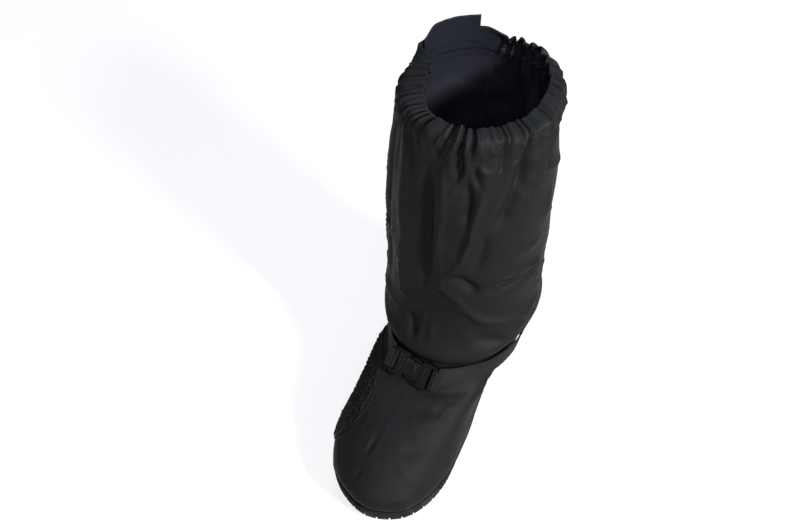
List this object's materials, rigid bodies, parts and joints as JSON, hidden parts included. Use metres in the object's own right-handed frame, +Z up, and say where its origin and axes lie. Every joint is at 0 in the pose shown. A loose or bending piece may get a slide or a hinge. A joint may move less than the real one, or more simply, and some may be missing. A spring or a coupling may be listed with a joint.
{
  "type": "rain overboot",
  "caption": "Tall rain overboot for the left foot: coated-cloth shaft with a gathered collar, a rear zip, an instep strap with a side-release buckle and a lugged rubber sole.",
  "frame": {"origin": "middle of the flat tread under the heel", "axes": "+Z up, the toe points along -Y, the outer side of the left foot along +X"},
  "size_m": [0.1588, 0.3233, 0.39],
  "materials": {
    "sole_rubber": "matte black moulded rubber",
    "coated_cloth": "near-black coated cloth with a soft sheen",
    "lining_cloth": "smooth near-black lining, slightly blue",
    "patch_rubber": "matte black with a small pebble relief",
    "buckle_plastic": "moulded black plastic",
    "webbing": "ribbed black webbing",
    "zip_metal": "plated metal, lightly worn"
  },
  "bodies": {
    "boot": {"outsole": "sole_rubber", "upper": "coated_cloth", "collar_casing": "coated_cloth", "collar_hem": "coated_cloth", "closure_tab": "lining_cloth", "vamp_seam": "coated_cloth", "grip_patch": "patch_rubber", "buckle_socket": "buckle_plastic", "buckle_plug": "buckle_plastic", "ankle_strap": "webbing", "zip_chain": "webbing", "zip_slider": "zip_metal"},
    "pull": {"zip_pull": "zip_metal"}
  },
  "joints": [
    {"name": "zip_pull_swing", "type": "hinge", "parent": "boot", "child": "pull", "pos_m": [-0.07022, 0.02655, 0.3372], "axis": [0.5444, 0.8177, -0.1872], "range_deg": [-8, 160]}
  ]
}
